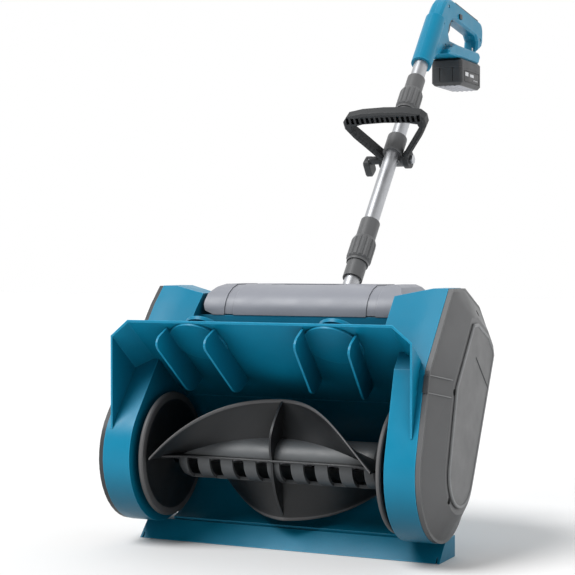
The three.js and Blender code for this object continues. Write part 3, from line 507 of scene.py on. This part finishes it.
def build_shelf(turn):
    """The narrow ledge along the front of the drum, where the blade's web starts."""
    spin = Matrix.Rotation(turn, 3, "X")

    def build(builder):
        half = BLADE_HALF * 1000 - 4
        sections = []
        for k in range(41):
            x = -half + 2 * half * k / 40
            reach = 40 + 22 * max(0.0, (abs(x) - 110) / 70) ** 2
            outline = [(-31, 0.6), (-reach, 1.0), (-reach - 0.8, 2.5), (-reach, 4.2), (-31, 5.4)]
            sections.append([AXIS + spin @ Vector(mm(x, y, z)) for y, z in outline])
        sweep(builder, sections)

    return build


black = MATERIALS["auger_black"]
for letter, phase in (("a", 0.0), ("b", math.pi)):
    blade = piece_from(f"blade_{letter}", build_blade(phase), [black, EDGE_GREY], "auger")
    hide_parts(f"auger_blade_{letter}")
    piece_from(f"blade_fin_{letter}", build_fin(phase), black, "auger")
    piece_from(f"blade_ledge_{letter}", build_shelf(phase), black, "auger")
# The drum is drawn in that lighter copy of the auger plastic, with its painted light.
drum = piece_from("drum", build_drum, DRUM_LIT_GREY, "auger")
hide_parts("auger_drum")
for name, side in (("right", 1), ("left", -1)):
    disc = piece_from(f"end_disc_{name}", build_disc(side), [black, EDGE_GREY], "auger")
    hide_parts(f"auger_disc_{name}")


# ---------------------------------------------------------------- side covers
def panel_edge(node_name, side):
    """The corners of a side cover's raised middle, in order round it."""
    vertices = NODES[node_name].data.vertices
    top = max(side * vertex.co.x for vertex in vertices)
    corners = [vertex.co.copy() for vertex in vertices if side * vertex.co.x > top - 0.0002]
    middle = sum(corners, Vector()) / len(corners)
    corners.sort(key=lambda c: math.atan2(c.z - middle.z, c.y - middle.y))
    kept = []
    for corner in corners:
        if not kept or (corner - kept[-1]).length > 0.0004:
            kept.append(corner)
    return kept, middle


def build_ridge(corners, middle, side):
    """A low rounded ridge that follows the edge of the raised middle."""

    def build(builder):
        section = [(-2.6, -1.6), (-2.2, 0.5), (-1.2, 1.1), (0.0, 1.25), (1.2, 1.1), (2.2, 0.4), (2.8, -1.6)]
        count = len(corners)
        rings = []
        for i, corner in enumerate(corners):
            before = (corner - corners[i - 1]).normalized()
            after = (corners[(i + 1) % count] - corner).normalized()
            along = (before + after).normalized()
            away = Vector((0, along.z, -along.y))
            if away.dot(corner - middle) < 0:
                away.negate()
            away /= max(0.6, abs(along.dot(before)))
            rise = Vector((side, 0, 0))
            points = [corner + away * (u / 1000) + rise * (h / 1000) for u, h in section]
            rings.append([builder.verts.new(point) for point in points])
        for i in range(count):
            first, second = rings[i], rings[(i + 1) % count]
            for j in range(len(section)):
                k = (j + 1) % len(section)
                builder.faces.new((first[j], first[k], second[k], second[j]))

    return build


def build_bar(start, end, width, height, lean):
    """A straight moulded bar with a rounded top between two points; lean points out of the surface."""

    def build(builder):
        a, b = Vector(start), Vector(end)
        along = (b - a).normalized()
        up = Vector(lean).normalized()
        across = along.cross(up)
        outline = [(-0.5, -0.4), (-0.5, 0.5), (-0.3, 0.92), (0.0, 1.0), (0.3, 0.92), (0.5, 0.5), (0.5, -0.4)]
        sections = []
        for t in (0.0, 0.04, 0.5, 0.96, 1.0):
            shrink = 0.7 if t in (0.0, 1.0) else 1.0
            here = a.lerp(b, t)
            wide, high = across * width * shrink, up * height * shrink
            sections.append([here + wide * u + high * v for u, v in outline])
        sweep(builder, sections)

    return build


# The right cover's ridge gets the lighter grey as a painted highlight; the left one keeps the cover's own
# dark plastic.
for name, side, cover, slot, material in (
    ("right", 1, "drive_cover_right", "mid_grey_shell", RIDGE_HIGHLIGHT_GREY),
    ("left", -1, "side_cover_left", "dark_shell", MATERIALS["dark_shell"]),
):
    corners, middle = panel_edge(cover, side)
    piece_from(f"cover_ridge_{name}", build_ridge(corners, middle, side), material, "tool")
    face_x = side * (max(side * c.x for c in corners) + 0.0001)
    crease = [(face_x, AXIS.y + y, z) for y, z in ((0.063, 0.294), (0.119, 0.245))]
    bar = build_bar(*crease, 0.0022, 0.0008, (side, 0, 0))
    piece_from(f"cover_crease_{name}", bar, MATERIALS["dark_shell"], "tool")

cover_low, cover_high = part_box("drive_cover_right")
BASE_X = cover_low.x
LINE_STARTS = {"low": (-0.0758, 0.2525), "high": (-0.0689, 0.2765)}  # y from the axle, and z


def build_clip(builder):
    """The dark clip on the front edge of the drive cover's base."""
    sections = []
    for x, inset in ((-0.2, 0.6), (0.4, 0.0), (6.2, 0.0), (7.0, 0.6)):
        ring = [
            (-77.0 + inset, 252.5 + inset), (-70.1 + inset, 276.5 - inset),
            (-66.9, 276.5 - inset), (-73.8, 252.5 + inset),
        ]
        sections.append([Vector((BASE_X + x / 1000, AXIS.y + y / 1000, z / 1000)) for y, z in ring])
    sweep(builder, sections)


piece_from("cover_clip", build_clip, MATERIALS["dark_shell"], "tool")
# The two lines on the drive cover are drawn in the lighter grey: a painted highlight along them.
for level, (front_y, z) in LINE_STARTS.items():
    start = (BASE_X + 0.0062, AXIS.y + front_y + 0.0035, z)
    end = (cover_high.x - 0.0032, AXIS.y + front_y + 0.0400, z - 0.009)
    line = build_bar(start, end, 0.0016, 0.0007, (0.87, -0.48, 0.1))
    piece_from(f"cover_line_{level}", line, RIDGE_HIGHLIGHT_GREY, "tool")


# ---------------------------------------------------------------- rear handle screws and battery
# The handle screws' y from the axle, and z, in mm. The last one lies in the finger gap, off the shell.
HANDLE_SCREWS = ((668, 880), (703, 919), (889, 879), (683, 842), (846, 855))
HANDLE_FACE_X = 0.0116
LAMP_SCALE = 0.42  # a charge lamp's size, as a part of a screw's
LABEL_INSET = 0.0165  # from the battery's front end to the label

pack_low, pack_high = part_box("battery_lower_case")
PACK_HALF = max(abs(pack_low.x), abs(pack_high.x))


def build_screw(centre, side, scale=1.0):
    """A small pan-head screw with a round recess in its middle."""

    def build(builder):
        head = [(0.0, 3.3), (0.9, 3.2), (1.5, 2.6), (1.75, 1.6)]
        recess = [(1.3, 1.1), (0.6, 0.9), (0.6, 0.05), (0.0, 0.05)]
        scaled = [(side * scale * x / 1000, scale * r / 1000) for x, r in head + recess]
        turned(builder, scaled, Vector(centre), 24)

    return build


for index, (y, z) in enumerate(HANDLE_SCREWS, 1):
    centre = (HANDLE_FACE_X, AXIS.y + y / 1000, z / 1000)
    piece_from(f"handle_screw_{index}", build_screw(centre, 1), MATERIALS["steel"], "tool")


def build_label(x, side):
    """A thin rounded plate set into the battery's side."""

    def build(builder):
        y0, y1 = pack_low.y + LABEL_INSET, pack_high.y - 0.0145
        z0, z1 = pack_low.z + 0.009, pack_low.z + 0.0292
        corner = 0.003
        loop = []
        for cy, cz, start in (
            (y1 - corner, z0 + corner, -90), (y1 - corner, z1 - corner, 0),
            (y0 + corner, z1 - corner, 90), (y0 + corner, z0 + corner, 180),
        ):
            for k in range(6):
                angle = math.radians(start + 18 * k)
                loop.append((cy + corner * math.cos(angle), cz + corner * math.sin(angle)))
        layers = [(0.0, 1.0), (0.0007, 1.0), (0.0009, 0.985)]
        cy, cz = (y0 + y1) / 2, (z0 + z1) / 2
        sections = [
            [Vector((x + side * out, cy + (y - cy) * grow, cz + (z - cz) * grow)) for y, z in loop]
            for out, grow in layers
        ]
        sweep(builder, sections)

    return build


for name, side in (("right", 1), ("left", -1)):
    plate_x = side * (PACK_HALF - 0.0009)
    piece_from(f"battery_label_{name}", build_label(plate_x, side), LABEL_BLACK, "battery")
    for k in range(5):
        lamp_at = (plate_x + side * 0.0007, pack_high.y - 0.024 - 0.0052 * k, pack_low.z + 0.0145)
        lamp = build_screw(lamp_at, side, LAMP_SCALE)
        piece_from(f"battery_lamp_{name}_{k + 1}", lamp, LABEL_PALE, "battery")


def build_bar_plate(x, side, y_span, z_span):
    """A small flat pale bar on the battery's label, with two corners cut."""

    def build(builder):
        (y0, y1), (z0, z1) = y_span, z_span
        cut = 0.0006
        ring = [(y0 + cut, z0), (y1, z0), (y1, z1 - cut), (y1 - cut, z1), (y0, z1), (y0, z0 + cut)]
        layers = [[Vector((x + side * out, y, z)) for y, z in ring] for out in (0.0, 0.00012)]
        sweep(builder, layers)

    return build


BARS = ((0.006, 0.018, 0.0075), (0.034, 0.022, 0.0055))  # start along the label, length and height
for name, side in (("right", 1), ("left", -1)):
    face_x = side * (PACK_HALF + 0.00002)
    for k, (start, length, height) in enumerate(BARS, 1):
        bar_y = pack_low.y + LABEL_INSET + start
        bar_z = pack_low.z + 0.0195
        bar = build_bar_plate(face_x, side, (bar_y, bar_y + length), (bar_z, bar_z + height))
        piece_from(f"battery_bar_{name}_{k}", bar, LABEL_PALE, "battery")


def build_base(builder):
    """The battery's pale underside: a thin plate with four shallow ribs."""
    half = pack_high.x - 0.0075
    y0, y1 = pack_low.y + 0.008, pack_high.y - 0.008
    plate, rib = -0.0004, -0.0013
    profile = [(-half, 0.0006), (-half + 0.001, plate)]
    for centre in (-0.0145, -0.005, 0.005, 0.0145):
        profile += [(centre - 0.0022, plate), (centre - 0.0012, rib)]
        profile += [(centre + 0.0012, rib), (centre + 0.0022, plate)]
    profile += [(half - 0.001, plate), (half, 0.0006), (half, 0.0012), (-half, 0.0012)]
    sweep(builder, [[Vector((x, y, pack_low.z + h)) for x, h in profile] for y in (y0, (y0 + y1) / 2, y1)])


piece_from("battery_base", build_base, MATERIALS["pale_grey_shell"], "battery")


# ---------------------------------------------------------------- floor, light and camera
def pale_floor():
    mesh = bpy.data.meshes.new("floor")
    builder = bmesh.new()
    bmesh.ops.create_grid(builder, x_segments=2, y_segments=2, size=14.0)
    builder.to_mesh(mesh)
    builder.free()
    floor = bpy.data.objects.new("floor", mesh)
    floor.location.z = CAD_BOX[0].z - 0.0004
    bpy.context.scene.collection.objects.link(floor)
    m = Material("floor")
    m.wire(m.blend(m.noise(2.0), (0.84, 0.84, 0.84), (0.86, 0.86, 0.86)), "Base Color")
    m.shader.inputs["Roughness"].default_value = 0.9
    m.shader.inputs["Specular IOR Level"].default_value = 0.1
    mesh.materials.append(m.material)


def studio_world():
    """A soft white surround: bright behind the object, dimmer in front of it, pale along the horizon."""
    world = bpy.data.worlds.new("studio")
    world.use_nodes = True
    sky = Shading(world.node_tree)
    axes = sky.add("ShaderNodeSeparateXYZ", {"Vector": sky.coords.outputs["Generated"]}).outputs
    level = sky.spread(axes["Y"], 0.16, 1.0, -0.35, 0.45, interpolation_type="SMOOTHSTEP")
    band = sky.spread(axes["Z"], 0.8, 0.0, 0.16, 0.30, interpolation_type="SMOOTHSTEP")
    background = sky.tree.nodes["Background"]
    sky.tree.links.new(sky.calculate("MAXIMUM", level, band), background.inputs["Strength"])
    background.inputs["Color"].default_value = (1, 1, 1, 1)
    bpy.context.scene.world = world


def sun(name, direction, power, softness):
    data = bpy.data.lights.new(name, "SUN")
    data.energy = power
    data.angle = math.radians(softness)
    light = bpy.data.objects.new(name, data)
    light.rotation_mode = "QUATERNION"
    light.rotation_quaternion = Vector(direction).to_track_quat("-Z", "Y")
    bpy.context.scene.collection.objects.link(light)


CAMERA_AT = mm(990.68, -2097.88, 437.82)
CAMERA_TURN, CAMERA_DIP = math.radians(25.46), math.radians(1.07)  # to its left, and downwards

pale_floor()
studio_world()
sun("key", (0.45, 0.62, -1.0), 2.7, 30)
sun("fill", (-1.0, 0.5, -0.55), 0.3, 40)

camera_data = bpy.data.cameras.new("camera")
camera_data.sensor_width = 36.0
camera_data.lens = 95.64
camera_data.clip_end = 60.0
camera = bpy.data.objects.new("camera", camera_data)
camera.location = CAMERA_AT
camera.rotation_euler = (math.pi / 2 - CAMERA_DIP, 0.0, CAMERA_TURN)
bpy.context.scene.collection.objects.link(camera)
bpy.context.scene.camera = camera
bpy.context.scene.view_settings.view_transform = "Standard"
